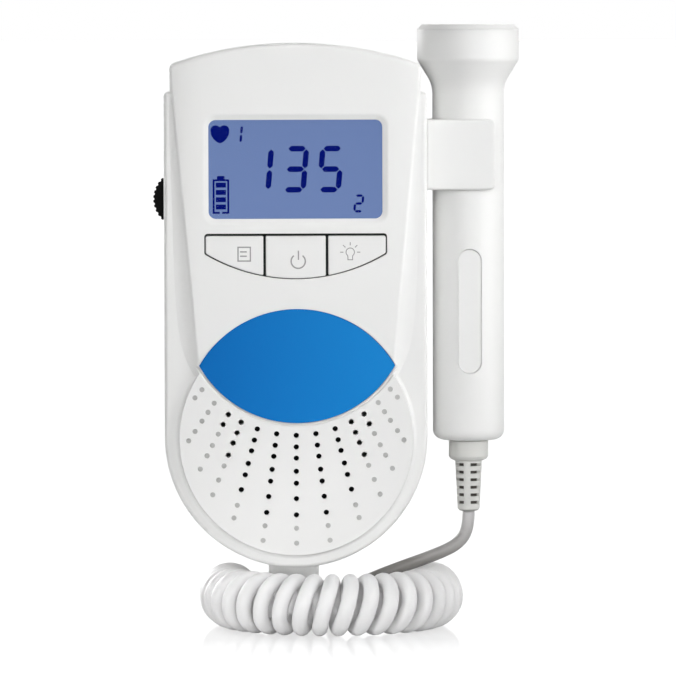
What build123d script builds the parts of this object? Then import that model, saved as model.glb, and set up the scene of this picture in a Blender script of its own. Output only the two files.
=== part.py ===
from build123d import *
from math import cos, radians, sin, sqrt, tan
import os

# Handheld fetal doppler monitor, standing upright on its plug and curly cord. Millimetres, +Z up.
# The front faces -Y. The origin is on the table, under the middle of the main unit.

# Main unit
HALF_WIDTH = 34.0
BOTTOM_Z = 16.8
TOP_Z = 152.5
HALF_DEPTH = 17.5
WALL = 2.0
SHOULDER_Z = 139.9
CAP_HALF_WIDTH = 32.4
CAP_CORNER_X, CAP_CORNER_Z = 32.6, 146.9
ROUND_CENTRE_Z = BOTTOM_Z + HALF_WIDTH
RAISE = 1.4
WING_Y = -(HALF_DEPTH - RAISE)
FRONT_Y = -HALF_DEPTH
FRONT_INNER_Y = -14.0
NECK_HALF_WIDTH, NECK_Z = 25.6, 65.4
DISC_RADIUS, DISC_Z = 30.15, 50.3
CROWN_X, CROWN_RADIUS = 24.2, 38.0

# Display
WINDOW_WIDTH, WINDOW_HEIGHT, WINDOW_Z = 44.9, 25.55, 119.95
WINDOW_CORNER = 1.9
WINDOW_RIM, WINDOW_SINK = 1.4, 0.45
LCD_WIDTH, LCD_HEIGHT = 50.0, 28.4

# Buttons
BUTTONS_HALF_WIDTH = 23.6
BUTTONS_TOP_Z, BUTTONS_SIDE_Z, BUTTONS_LOW_Z = 103.4, 98.1, 91.6
BUTTONS_CORNER = 0.9
DIVIDER_X = 8.05
TOP_GAP, SIDE_GAP, DIVIDER_GAP, LOW_GAP = 0.6, 0.38, 0.32, 0.22
BUTTON_TRAVEL = 0.5
SWITCH_TOP_Y = -11.7

# Label lens
LABEL_X, LABEL_HALF_WIDTH, LABEL_TIP_Z = 0.3, 25.5, 69.3
LABEL_TOP_Z, LABEL_BOTTOM_Z = 83.95, 54.3

# Speaker
SPEAKER_Z = 42.0
SPEAKER_RADIUS = 17.5
FAN_POINT_Z = 90.7
FAN_ROWS_Z = (51.2, 48.2, 45.3, 41.9, 38.8, 34.8, 30.6, 27.15, 23.3)
FAN_FIRST_RADIUS, FAN_RADIUS_GROWTH = 30.8, 0.77
FAN_ANGLES = (0.0, 7.4, 14.9, 21.55, 27.3, 34.3, 41.4)
FAN_THROUGH = (7, 7, 6, 4, 2, 0, 0)
FAN_DIMPLES = (2, 2, 2, 3, 4, 5, 2)
SOUND_HOLE_RADIUS, DIMPLE_RADIUS, DIMPLE_DEPTH = 0.7, 0.66, 0.6

# Circuit board
BOARD_FRONT_Y, BOARD_BACK_Y = -9.8, -8.2
BOARD_HALF_WIDTH, BOARD_LOW_Z, BOARD_TOP_Z = 30.0, 71.0, 134.0
BOARD_SCREWS = ((-28.2, 98.0), (28.2, 98.0), (-24.0, 75.0), (24.0, 75.0))

# Volume wheel
WHEEL_X, WHEEL_Z, WHEEL_RADIUS = -29.4, 112.0, 7.4
WHEEL_FRONT_Y, WHEEL_BACK_Y = -3.0, 1.0
WHEEL_BORE = 1.55
KNURLS = 36

# Earphone jack
JACK_Z, JACK_Y, JACK_BORE = 88.0, -5.6, 1.8

# Battery bay
BAY_HALF_WIDTH, BAY_LOW_Z, BAY_TOP_Z = 15.2, 63.6, 120.4
BAY_FLOOR_Y = 1.1
COVER_HALF_WIDTH, COVER_LOW_Z, COVER_TOP_Z = 16.8, 61.2, 122.8
COVER_INNER_Y = 15.8
CELL_RADIUS, CELL_LENGTH = 7.2, 50.5
CELL_X, CELL_Y = 7.55, 8.45

# Housing screws, as (x, z)
HOUSING_SCREWS = (
    (-25.5, 141.0),
    (25.5, 141.0),
    (-27.5, 66.0),
    (27.5, 66.0),
    (-18.5, 27.7),
    (18.5, 27.7),
)
BOSS_RADIUS = 2.9
SCREW_SEAT_Y = 9.0
SCREW_TIP_Y = -6.0

# Probe and its clip
PROBE_X = 45.3
PROBE_RADIUS, PROBE_LOW_Z = 9.3, 48.9
GRIP_HOLLOW_Z, GRIP_HOLLOW_LENGTH, GRIP_HOLLOW_WIDTH = 82.7, 32.4, 6.1
NECK_TOP_Z, FLARE_TOP_Z = 140.2, 148.4
HEAD_RADIUS, HEAD_TOP_Z = 13.25, 157.2
FACE_SEAM_Z = 155.7
PROBE_WALL = 1.8
CLIP_LOW_Z, CLIP_TOP_Z = 114.35, 132.55
CLIP_END_X = 51.95
CLIP_SLOT_RADIUS, CLIP_ARM = 9.52, 1.8

# Strain relief on the probe
COLLAR_RADIUS, COLLAR_LOW_Z = 5.15, 44.4
BOOT_TOP_RADIUS, BOOT_END_RADIUS = 3.5, 2.87
BOOT_TOP_Z, BOOT_END_Z = 43.35, 30.3
BOOT_ROWS, BOOT_PITCH, BOOT_SLOT = 6, 1.98, 0.8
BOOT_FIRST_SLOT, BOOT_RIB, BOOT_RIB_TURN = 0.55, 1.7, -10

# Cord
CORD_RADIUS = 1.6
COIL_RADIUS = 8.0
RING_X, RING_RADIUS = 9.4, 26.4
LEG_END_Y = 12.0
CORD_LOW_Z = 1.8
PLUG_X, PLUG_HALF_WIDTH, PLUG_HALF_DEPTH, PLUG_TOP_Z = -0.5, 6.5, 4.5, 19.5
PLUG_BOOT_Z, PLUG_BOOT_END_Y = 4.6, 12.5

os.makedirs("parts", exist_ok=True)


def save(part, name):
    part.label = name
    export_step(part, f"parts/{name}.step")


def wing_outline(inset, shoulder=0.0):
    """The full-width body: straight sides on a half-round bottom, flat at the shoulders."""
    half = HALF_WIDTH - inset
    top = SHOULDER_Z - inset
    with BuildLine() as outline:
        Polyline((-half, ROUND_CENTRE_Z), (-half, top), (half, top), (half, ROUND_CENTRE_Z))
        ThreePointArc((half, ROUND_CENTRE_Z), (0, BOTTOM_Z + inset), (-half, ROUND_CENTRE_Z))
    face = make_face(outline.edges())
    if shoulder:
        fillet(face.vertices().group_by(Axis.Y)[-1], shoulder)


def cap_outline(inset, low_z):
    """The slightly narrower top, closed by a shallow arch."""
    low = (CAP_HALF_WIDTH - inset, low_z)
    corner = (CAP_CORNER_X - inset, CAP_CORNER_Z - inset)
    with BuildLine() as outline:
        Polyline((-corner[0], corner[1]), (-low[0], low[1]), low, corner)
        ThreePointArc(corner, (0, TOP_Z - inset), (-corner[0], corner[1]))
    make_face(outline.edges())


def box_between(x, y, z, mode=Mode.ADD):
    """A box from its low and high limits on each axis."""
    middle = ((x[0] + x[1]) / 2, (y[0] + y[1]) / 2, (z[0] + z[1]) / 2)
    with Locations(middle):
        Box(x[1] - x[0], y[1] - y[0], z[1] - z[0], mode=mode)


def facing_y(x, z, y=0.0):
    """A plane whose normal is +Y, centred at this x and z."""
    return Plane(origin=(x, y, z), x_dir=(1, 0, 0), z_dir=(0, 1, 0))


def round_bar(x, z, radius, y, mode=Mode.ADD):
    """A round bar along Y between two y values."""
    with BuildSketch(facing_y(x, z, y[0])) as section:
        Circle(radius)
    extrude(section.sketch, amount=y[1] - y[0], mode=mode)


def turned(profile, x, z, mode=Mode.ADD):
    """A body turned about an axis along Y, from (y, radius) points."""
    with BuildSketch(Plane(origin=(x, 0, z), x_dir=(0, 1, 0), z_dir=(1, 0, 0))) as section:
        with BuildLine():
            Polyline(*profile, close=True)
        make_face()
    revolve(section.sketch, axis=Axis((x, 0, z), (0, 1, 0)), mode=mode)


def sound_points():
    """The fan of holes and dimples: straight rays crossed by rows that get flatter downwards."""
    holes, dimples = [], []
    for angle, through, blind in zip(FAN_ANGLES, FAN_THROUGH, FAN_DIMPLES):
        down = cos(radians(angle))
        across = sin(radians(angle))
        for row, row_z in enumerate(FAN_ROWS_Z[: through + blind]):
            radius = FAN_FIRST_RADIUS + FAN_RADIUS_GROWTH * (FAN_ROWS_Z[0] - row_z)
            drop = FAN_POINT_Z - (row_z + radius)
            reach = drop * down + sqrt((drop * down) ** 2 - drop**2 + radius**2)
            sides = (-1, 1) if angle else (1,)
            for side in sides:
                point = (side * reach * across, FAN_POINT_Z - reach * down)
                (holes if row < through else dimples).append(point)
    return holes, dimples


def label_outline(inset):
    """A lens between two arcs that meet in points at its sides."""
    left = (LABEL_X - LABEL_HALF_WIDTH + 2 * inset, LABEL_TIP_Z)
    right = (LABEL_X + LABEL_HALF_WIDTH - 2 * inset, LABEL_TIP_Z)
    with BuildLine() as outline:
        ThreePointArc(left, (LABEL_X, LABEL_TOP_Z - inset), right)
        ThreePointArc(right, (LABEL_X, LABEL_BOTTOM_Z + inset), left)
    make_face(outline.edges())


def buttons_outline(side=0.0, top=0.0, low=0.0):
    """The opening for the row of three buttons, straight above and arched below, or less on each side."""
    half = BUTTONS_HALF_WIDTH - side
    top_z = BUTTONS_TOP_Z - top
    side_z = BUTTONS_SIDE_Z + low
    with BuildLine() as outline:
        Polyline((-half, side_z), (-half, top_z), (half, top_z), (half, side_z))
        ThreePointArc((half, side_z), (0, BUTTONS_LOW_Z + low), (-half, side_z))
    make_face(outline.edges())


def crown_y(x):
    """The panel's front: flat in the middle, rolling back towards both sides."""
    beyond = max(abs(x) - CROWN_X, 0)
    return FRONT_Y + CROWN_RADIUS - sqrt(CROWN_RADIUS**2 - beyond**2)


def panel_edge(z):
    """Half the width of the raised panel at this height."""
    return NECK_HALF_WIDTH + (CAP_HALF_WIDTH - NECK_HALF_WIDTH) * (z - NECK_Z) / (SHOULDER_Z - NECK_Z)


# Raised front panel, narrowing towards the loudspeaker disc, with sides that roll back
PANEL_EDGE_ROUND = 1.2
with BuildPart() as front_panel:
    with BuildSketch(Plane.XZ):
        with BuildLine():
            neck = (NECK_HALF_WIDTH, NECK_Z)
            shoulder = (CAP_HALF_WIDTH, SHOULDER_Z)
            corner = (CAP_CORNER_X, CAP_CORNER_Z)
            Polyline(
                (-corner[0], corner[1]),
                (-shoulder[0], shoulder[1]),
                (-neck[0], neck[1]),
                neck,
                shoulder,
                corner,
            )
            ThreePointArc(corner, (0, TOP_Z), (-corner[0], corner[1]))
        make_face()
    extrude(amount=HALF_DEPTH)
    fillet(front_panel.edges().filter_by(Axis.Y).group_by(Axis.Z)[-1], 1.8)
    with BuildSketch(Plane.XY.offset(NECK_Z - 5)):
        with BuildLine():
            far = CAP_HALF_WIDTH + 2
            Line((-CROWN_X, FRONT_Y), (CROWN_X, FRONT_Y))
            TangentArc((CROWN_X, FRONT_Y), (far, crown_y(far)), tangent=(1, 0))
            TangentArc((-CROWN_X, FRONT_Y), (-far, crown_y(far)), tangent=(-1, 0))
            Polyline((far, crown_y(far)), (far, 1), (-far, 1), (-far, crown_y(far)))
        make_face()
    extrude(amount=TOP_Z, mode=Mode.INTERSECT)
    front_edges = front_panel.edges().filter_by(lambda edge: edge.center().Y < WING_Y)
    top_edges = front_edges.filter_by(lambda edge: edge.center().Z > CAP_CORNER_Z - 2)
    side_edges = front_edges.filter_by(
        lambda edge: NECK_Z + 1 < edge.center().Z < CAP_CORNER_Z - 2 and abs(edge.center().X) > CROWN_X + 0.1
    )
    fillet(top_edges + side_edges, PANEL_EDGE_ROUND)

# The flare that lifts the panel's long sides off the wings, as (z, spread at its foot)
FLARE_STATIONS = ((66.0, 0.3), (77.0, 3.9), (105.0, 2.9), (128.0, 1.4), (138.8, 0.1))
FLARE_HOLLOW = 0.06
with BuildPart() as flare:
    for z, spread in FLARE_STATIONS:
        crest_x = panel_edge(z) - 0.55
        crest = (crest_x, crown_y(crest_x) + 0.2)
        foot = (panel_edge(z) + spread, WING_Y + 0.02)
        middle_x = (crest[0] + foot[0]) / 2 - FLARE_HOLLOW * (foot[1] - crest[1])
        middle_y = (crest[1] + foot[1]) / 2 + FLARE_HOLLOW * (foot[0] - crest[0])
        with BuildSketch(Plane.XY.offset(z)):
            with BuildLine():
                ThreePointArc(foot, (middle_x, middle_y), crest)
                Line(crest, (-crest[0], crest[1]))
                ThreePointArc((-crest[0], crest[1]), (-middle_x, middle_y), (-foot[0], foot[1]))
                Polyline((-foot[0], foot[1]), (-foot[0], WING_Y + 1), (foot[0], WING_Y + 1), foot)
            make_face()
    loft()

# Front shell: wings, raised panel and the round loudspeaker disc
with BuildPart() as front_shell:
    with BuildSketch(Plane.XZ):
        wing_outline(0, 1.2)
    extrude(amount=-WING_Y)
    fillet(front_shell.faces().sort_by(Axis.Y)[0].edges(), 1.0)
    add(front_panel.part)
    add(flare.part)
    # The loudspeaker disc, with a hollow sweep down to the rim around it
    with BuildSketch(Plane(origin=(0, 0, DISC_Z), x_dir=(0, 1, 0), z_dir=(1, 0, 0))):
        with BuildLine():
            start = (FRONT_Y, DISC_RADIUS)
            end = (WING_Y, DISC_RADIUS + 1.0)
            Polyline(end, (FRONT_INNER_Y - 0.5, end[1]), (FRONT_INNER_Y - 0.5, 0), (FRONT_Y, 0), start)
            ThreePointArc(start, (FRONT_Y + 0.95, DISC_RADIUS + 0.27), end)
        make_face()
    revolve(axis=Axis((0, 0, DISC_Z), (0, 1, 0)))
    # The hollow inside
    with BuildSketch(Plane.XZ):
        wing_outline(WALL)
    extrude(amount=-FRONT_INNER_Y, mode=Mode.SUBTRACT)
    with BuildSketch(Plane.XZ):
        cap_outline(WALL, SHOULDER_Z - 6)
    extrude(amount=-FRONT_INNER_Y, mode=Mode.SUBTRACT)
    # Display opening with its dished rim, and the pocket that holds the glass behind it
    with BuildSketch(Plane.XZ.offset(HALF_DEPTH)):
        with Locations((0, WINDOW_Z)):
            RectangleRounded(
                WINDOW_WIDTH + 2 * WINDOW_RIM, WINDOW_HEIGHT + 2 * WINDOW_RIM, WINDOW_CORNER + WINDOW_RIM
            )
    with BuildSketch(Plane.XZ.offset(HALF_DEPTH - WINDOW_SINK)):
        with Locations((0, WINDOW_Z)):
            RectangleRounded(WINDOW_WIDTH, WINDOW_HEIGHT, WINDOW_CORNER)
    loft(mode=Mode.SUBTRACT)
    rim_edges = front_shell.edges().filter_by(
        lambda edge: abs(edge.center().Y - FRONT_Y) < 0.01
        and abs(edge.center().Z - WINDOW_Z) < WINDOW_HEIGHT / 2 + WINDOW_RIM + 0.1
        and abs(edge.center().X) < WINDOW_WIDTH / 2 + WINDOW_RIM + 0.1
    )
    fillet(rim_edges, 2.0)
    with BuildSketch(Plane.XZ):
        with Locations((0, WINDOW_Z)):
            RectangleRounded(WINDOW_WIDTH, WINDOW_HEIGHT, WINDOW_CORNER)
    extrude(amount=HALF_DEPTH, mode=Mode.SUBTRACT)
    with BuildSketch(Plane.XZ):
        with Locations((0, WINDOW_Z)):
            Rectangle(LCD_WIDTH + 0.6, LCD_HEIGHT + 0.6)
    extrude(amount=15.6, mode=Mode.SUBTRACT)
    # Button opening
    with BuildSketch(Plane.XZ) as button_opening:
        buttons_outline()
        fillet(button_opening.vertices(), BUTTONS_CORNER)
    extrude(amount=HALF_DEPTH, mode=Mode.SUBTRACT)
    # Pocket of the label lens
    with BuildSketch(Plane.XZ.offset(HALF_DEPTH)):
        label_outline(0)
    extrude(amount=-0.8, mode=Mode.SUBTRACT)
    # Thinner wall over the loudspeaker, with its fan of holes and dimples
    round_bar(0, SPEAKER_Z, SPEAKER_RADIUS - 1.5, (-15.5, -10), Mode.SUBTRACT)
    sound_holes, sound_dimples = sound_points()
    with BuildSketch(Plane.XZ.offset(HALF_DEPTH)):
        with Locations(*sound_holes):
            Circle(SOUND_HOLE_RADIUS)
    extrude(amount=-3.6, mode=Mode.SUBTRACT)
    with BuildSketch(Plane.XZ.offset(HALF_DEPTH)):
        with Locations(*sound_dimples):
            Circle(DIMPLE_RADIUS)
    extrude(amount=-DIMPLE_DEPTH, mode=Mode.SUBTRACT)
    # Screw bosses
    for x, z in HOUSING_SCREWS:
        round_bar(x, z, BOSS_RADIUS, (FRONT_INNER_Y, -0.1))
        round_bar(x, z, 1.3, (SCREW_TIP_Y - 1, 0), Mode.SUBTRACT)
    for x, z in BOARD_SCREWS:
        round_bar(x, z, 2.0, (FRONT_INNER_Y, BOARD_FRONT_Y))
        round_bar(x, z, 0.9, (BOARD_FRONT_Y - 3.6, BOARD_FRONT_Y), Mode.SUBTRACT)
    # Openings in the edge: volume wheel, earphone jack, clip foot and plug
    box_between((-40, -28), (WHEEL_FRONT_Y - 0.4, 1), (WHEEL_Z - 7.2, WHEEL_Z + 7.2), Mode.SUBTRACT)
    with BuildSketch(Plane(origin=(-40, JACK_Y, JACK_Z), x_dir=(0, 1, 0), z_dir=(1, 0, 0))):
        Circle(3.1)
    extrude(amount=9, mode=Mode.SUBTRACT)
    box_between((30, 40), (-4.1, 1), (117.9, 130.1), Mode.SUBTRACT)
    box_between((PLUG_X - 6.75, PLUG_X + 6.75), (-4.75, 1), (10, 24), Mode.SUBTRACT)
save(front_shell.part, "front_shell")

# Top of the rear shell, rounded like the rest of its back
with BuildPart() as rear_cap:
    with BuildSketch(Plane.XZ):
        cap_outline(0, SHOULDER_Z - 8)
    extrude(amount=-HALF_DEPTH)
    fillet(rear_cap.edges().filter_by(Axis.Y).group_by(Axis.Z)[-1], 1.8)
    fillet(rear_cap.faces().sort_by(Axis.Y)[-1].edges(), 1.7)

# Rear shell: a plainer half, with the battery tray inside it
with BuildPart() as rear_shell:
    with BuildSketch(Plane.XZ):
        wing_outline(0, 1.8)
    extrude(amount=-HALF_DEPTH)
    fillet(rear_shell.faces().sort_by(Axis.Y)[-1].edges(), 1.7)
    add(rear_cap.part)
    with BuildSketch(Plane.XZ):
        wing_outline(WALL)
    extrude(amount=WALL - HALF_DEPTH, mode=Mode.SUBTRACT)
    with BuildSketch(Plane.XZ):
        cap_outline(WALL, SHOULDER_Z - 6)
    extrude(amount=WALL - HALF_DEPTH, mode=Mode.SUBTRACT)
    # Screw posts with deep seats, open to the rear
    for x, z in HOUSING_SCREWS:
        round_bar(x, z, BOSS_RADIUS, (0.1, HALF_DEPTH - 1))
        round_bar(x, z, 2.3, (SCREW_SEAT_Y, 20), Mode.SUBTRACT)
        round_bar(x, z, 1.4, (-1, 20), Mode.SUBTRACT)
    # Battery tray and the seat of its cover
    box_between((-18.5, 18.5), (0.1, 16.5), (58.4, 124.6))
    box_between(
        (-BAY_HALF_WIDTH, BAY_HALF_WIDTH), (BAY_FLOOR_Y, 20), (BAY_LOW_Z, BAY_TOP_Z), Mode.SUBTRACT
    )
    with BuildSketch(facing_y(0, (COVER_LOW_Z + COVER_TOP_Z) / 2, COVER_INNER_Y - 0.1)):
        RectangleRounded(2 * COVER_HALF_WIDTH + 0.4, COVER_TOP_Z - COVER_LOW_Z + 0.4, 2.2)
    extrude(amount=4, mode=Mode.SUBTRACT)
    box_between((-3.4, 3.4), (12.6, 15.5), (COVER_LOW_Z - 2.7, 66), Mode.SUBTRACT)
    box_between((-3.4, 3.4), (15, COVER_INNER_Y), (COVER_LOW_Z - 0.2, 66), Mode.SUBTRACT)
    # Openings in the edge
    box_between((-40, -28), (-1, WHEEL_BACK_Y + 0.4), (WHEEL_Z - 7.2, WHEEL_Z + 7.2), Mode.SUBTRACT)
    box_between((30, 40), (-1, 4.1), (117.9, 130.1), Mode.SUBTRACT)
    box_between((PLUG_X - 6.75, PLUG_X + 6.75), (-1, 4.75), (10, 24), Mode.SUBTRACT)
save(rear_shell.part, "rear_shell")

# Battery cover: a plate with a hook at its lower end and a ribbed thumb hollow
with BuildPart() as battery_cover:
    with BuildSketch(facing_y(0, (COVER_LOW_Z + COVER_TOP_Z) / 2, COVER_INNER_Y)):
        RectangleRounded(2 * COVER_HALF_WIDTH, COVER_TOP_Z - COVER_LOW_Z, 2.0)
    extrude(amount=HALF_DEPTH - COVER_INNER_Y)
    with BuildSketch(facing_y(0, 113, HALF_DEPTH)):
        Circle(5.5)
    extrude(amount=-0.6, mode=Mode.SUBTRACT)
    for rib in range(3):
        box_between((-4, 4), (HALF_DEPTH - 0.8, HALF_DEPTH - 0.1), (110.6 + 2 * rib, 111.4 + 2 * rib))
    box_between((-3, 3), (13.9, COVER_INNER_Y), (COVER_LOW_Z + 0.1, COVER_LOW_Z + 2.1))
    box_between((-3, 3), (13.9, 15.3), (COVER_LOW_Z - 2.3, COVER_LOW_Z + 0.1))
save(battery_cover.part, "battery_cover")

# Label lens in its pocket
with BuildPart() as label_plate:
    with BuildSketch(Plane.XZ.offset(HALF_DEPTH - 0.8)):
        label_outline(0.1)
    extrude(amount=0.55)
save(label_plate.part, "label_plate")

# Display: clear window, glass, backlight and the frame around them
with BuildPart() as lcd_window:
    with BuildSketch(Plane.XZ.offset(15.7)):
        with Locations((0, WINDOW_Z)):
            RectangleRounded(WINDOW_WIDTH - 0.2, WINDOW_HEIGHT - 0.2, WINDOW_CORNER - 0.1)
    extrude(amount=1.15)
save(lcd_window.part, "lcd_window")

with BuildPart() as lcd_glass:
    with BuildSketch(Plane.XZ.offset(13.4)):
        with Locations((0, WINDOW_Z)):
            Rectangle(LCD_WIDTH, LCD_HEIGHT)
    extrude(amount=2.1)
save(lcd_glass.part, "lcd_glass")

with BuildPart() as lcd_backlight:
    with BuildSketch(Plane.XZ.offset(10.4)):
        with Locations((0, WINDOW_Z)):
            Rectangle(LCD_WIDTH, LCD_HEIGHT)
    extrude(amount=2.9)
save(lcd_backlight.part, "lcd_backlight")

with BuildPart() as lcd_frame:
    with BuildSketch(Plane.XZ.offset(-BOARD_FRONT_Y)):
        with Locations((0, WINDOW_Z)):
            Rectangle(LCD_WIDTH + 2.6, LCD_HEIGHT + 2.6)
            Rectangle(LCD_WIDTH + 0.4, LCD_HEIGHT + 0.4, mode=Mode.SUBTRACT)
    extrude(amount=-FRONT_INNER_Y + BOARD_FRONT_Y - 0.1)
save(lcd_frame.part, "lcd_frame")

# Buttons: flanged caps that slide into the panel, each over its own switch
BUTTON_SPANS = {
    "mode_button": (-BUTTONS_HALF_WIDTH, -DIVIDER_X),
    "power_button": (-DIVIDER_X, DIVIDER_X),
    "backlight_button": (DIVIDER_X, BUTTONS_HALF_WIDTH),
}
SWITCH_X = 15.9
SWITCH_Z = 97.4
for button_name, (left, right) in BUTTON_SPANS.items():
    with BuildPart() as button:
        with BuildSketch(Plane.XZ.offset(12.9)) as cap:
            buttons_outline(SIDE_GAP, TOP_GAP, LOW_GAP)
            with Locations(((left + right) / 2, 97)):
                Rectangle(right - left - 2 * DIVIDER_GAP, 20, mode=Mode.INTERSECT)
            outer = cap.vertices().filter_by(lambda vertex: abs(vertex.X) > DIVIDER_X + 1)
            fillet(cap.vertices() - outer, 0.35)
            if outer:
                fillet(cap.vertices().filter_by(lambda vertex: abs(vertex.X) > BUTTONS_HALF_WIDTH - 1), 0.6)
        extrude(amount=HALF_DEPTH + 0.25 - 12.9)
        fillet(button.faces().sort_by(Axis.Y)[0].edges(), 0.3)
        # The stop flange stays under the panel, below and beside the opening
        low_edge = {"mode_button": -1, "power_button": 0, "backlight_button": 1}[button_name]
        flange_x = sorted((low_edge * (BUTTONS_HALF_WIDTH - 3), low_edge * (BUTTONS_HALF_WIDTH + 0.9)))
        if low_edge:
            box_between(flange_x, (-13.9, -12.9), (98.6, 102.6))
        else:
            box_between((-4, 4), (-13.9, -12.9), (90.6, 96))
        round_bar(low_edge * SWITCH_X, SWITCH_Z, 1.8, (-13.5, SWITCH_TOP_Y - BUTTON_TRAVEL - 0.1))
    save(button.part, button_name)

with BuildPart() as button_switches:
    for x in (-SWITCH_X, 0, SWITCH_X):
        box_between((x - 3, x + 3), (-11.3, BOARD_FRONT_Y), (SWITCH_Z - 3, SWITCH_Z + 3))
        round_bar(x, SWITCH_Z, 1.4, (SWITCH_TOP_Y, -11.3))
save(button_switches.part, "button_switches")

# Volume control: knurled thumb wheel on the shaft of its potentiometer
with BuildPart() as volume_wheel:
    with BuildSketch(facing_y(WHEEL_X, WHEEL_Z, WHEEL_FRONT_Y)):
        Circle(WHEEL_RADIUS)
        with PolarLocations(WHEEL_RADIUS + 0.12, KNURLS):
            Circle(0.42, mode=Mode.SUBTRACT)
        Circle(WHEEL_BORE, mode=Mode.SUBTRACT)
    extrude(amount=WHEEL_BACK_Y - WHEEL_FRONT_Y)
save(volume_wheel.part, "volume_wheel")

with BuildPart() as volume_pot:
    box_between((-31.4, -21.5), (BOARD_BACK_Y, -3.3), (WHEEL_Z - 5, WHEEL_Z + 5))
    round_bar(WHEEL_X, WHEEL_Z, WHEEL_BORE - 0.06, (-3.4, WHEEL_BACK_Y - 0.4))
save(volume_pot.part, "volume_pot")

# Main circuit board and what is soldered to it
with BuildPart() as main_board:
    with BuildSketch(Plane.XZ.offset(-BOARD_BACK_Y)):
        with Locations((0, (BOARD_LOW_Z + BOARD_TOP_Z) / 2)):
            RectangleRounded(2 * BOARD_HALF_WIDTH, BOARD_TOP_Z - BOARD_LOW_Z, 1.5)
        with Locations(*BOARD_SCREWS):
            Circle(1.1, mode=Mode.SUBTRACT)
    extrude(amount=BOARD_BACK_Y - BOARD_FRONT_Y)
save(main_board.part, "main_board")

with BuildPart() as board_chips:
    box_between((-6, 6), (BOARD_BACK_Y, -6.4), (100, 112))
    box_between((10, 20), (BOARD_BACK_Y, -6.6), (88, 94))
    box_between((-12, -7), (BOARD_BACK_Y, -6.6), (78, 86))
    for x in (9, 16):
        round_bar(x, 79, 2.5, (BOARD_BACK_Y, -2.6))
save(board_chips.part, "board_chips")

with BuildPart() as board_screws:
    for x, z in BOARD_SCREWS:
        turned(((-12.8, 0), (-12.8, 0.85), (BOARD_BACK_Y, 0.85), (BOARD_BACK_Y, 1.9), (-7.1, 1.6), (-7.1, 0)), x, z)
save(board_screws.part, "board_screws")

with BuildPart() as earphone_jack:
    box_between((-31.7, -18.5), (BOARD_BACK_Y, -2.6), (JACK_Z - 3.1, JACK_Z + 3.1))
    with BuildSketch(Plane(origin=(-HALF_WIDTH, JACK_Y, JACK_Z), x_dir=(0, 1, 0), z_dir=(1, 0, 0))):
        Circle(3.0)
    extrude(amount=3)
    with BuildSketch(Plane(origin=(-HALF_WIDTH, JACK_Y, JACK_Z), x_dir=(0, 1, 0), z_dir=(1, 0, 0))):
        Circle(JACK_BORE)
    extrude(amount=14, mode=Mode.SUBTRACT)
save(earphone_jack.part, "earphone_jack")

# Loudspeaker behind the fan of holes
with BuildPart() as speaker_gasket:
    round_bar(0, SPEAKER_Z, SPEAKER_RADIUS, (FRONT_INNER_Y, -13.1))
    round_bar(0, SPEAKER_Z, SPEAKER_RADIUS - 2, (-20, 0), Mode.SUBTRACT)
save(speaker_gasket.part, "speaker_gasket")

with BuildPart() as speaker_frame:
    turned(
        (
            (-13.1, SPEAKER_RADIUS),
            (-12.1, SPEAKER_RADIUS),
            (-6.2, 10.5),
            (-6.2, 7.4),
            (-7.0, 7.4),
            (-7.0, 9.8),
            (-12.6, SPEAKER_RADIUS - 1.2),
            (-13.1, SPEAKER_RADIUS - 1.2),
        ),
        0,
        SPEAKER_Z,
    )
save(speaker_frame.part, "speaker_frame")

with BuildPart() as speaker_cone:
    turned(
        (
            (-13.0, SPEAKER_RADIUS - 1.4),
            (-12.6, SPEAKER_RADIUS - 1.4),
            (-7.4, 5.4),
            (-7.4, 0),
            (-8.4, 0),
            (-8.2, 4.6),
        ),
        0,
        SPEAKER_Z,
    )
save(speaker_cone.part, "speaker_cone")

with BuildPart() as speaker_magnet:
    turned(((-7.2, 0), (-7.2, 7.2), (-6.1, 7.2), (-6.1, 9.0), (-1.6, 9.0), (-1.2, 8.6), (-1.2, 0)), 0, SPEAKER_Z)
save(speaker_magnet.part, "speaker_magnet")

# Batteries head to tail, with plain contacts and coil springs
CELL_LOW = {"battery_1": BAY_LOW_Z + 5.5, "battery_2": BAY_LOW_Z + 0.6}
for cell_name, x, nub_up in (("battery_1", -CELL_X, True), ("battery_2", CELL_X, False)):
    with BuildPart() as battery:
        low = CELL_LOW[cell_name]
        body_low = low if nub_up else low + 1.2
        with BuildSketch(Plane(origin=(x, CELL_Y, body_low))):
            Circle(CELL_RADIUS)
        extrude(amount=CELL_LENGTH - 1.2)
        fillet(battery.edges(), 0.5)
        with BuildSketch(Plane(origin=(x, CELL_Y, low + CELL_LENGTH - 1.4 if nub_up else low))):
            Circle(2.7)
        extrude(amount=1.4)
    save(battery.part, cell_name)

with BuildPart() as battery_contacts:
    box_between((-CELL_X - 4, -CELL_X + 4), (4, 13), (BAY_TOP_Z - 0.6, BAY_TOP_Z - 0.1))
    box_between((CELL_X - 4, CELL_X + 4), (4, 13), (BAY_LOW_Z + 0.1, BAY_LOW_Z + 0.5))
save(battery_contacts.part, "battery_contacts")

SPRING_WIRE = 0.35
with BuildPart() as battery_springs:
    for x, low, flip in ((-CELL_X, BAY_LOW_Z + 0.1, False), (CELL_X, BAY_TOP_Z - 0.1, True)):
        base = Plane(origin=(x, CELL_Y, low), z_dir=(0, 0, -1 if flip else 1), x_dir=(1, 0, 0))
        with BuildSketch(base):
            Circle(5.4)
        extrude(amount=0.4)
        coil = base.offset(0.4 + SPRING_WIRE)
        with BuildLine():
            wire = Helix(1.3, 3.9, 4.2, center=coil.origin, direction=coil.z_dir)
        with BuildSketch(Plane(origin=wire @ 0, z_dir=wire % 0)):
            Circle(SPRING_WIRE)
        sweep(path=wire)
save(battery_springs.part, "battery_springs")

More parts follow.
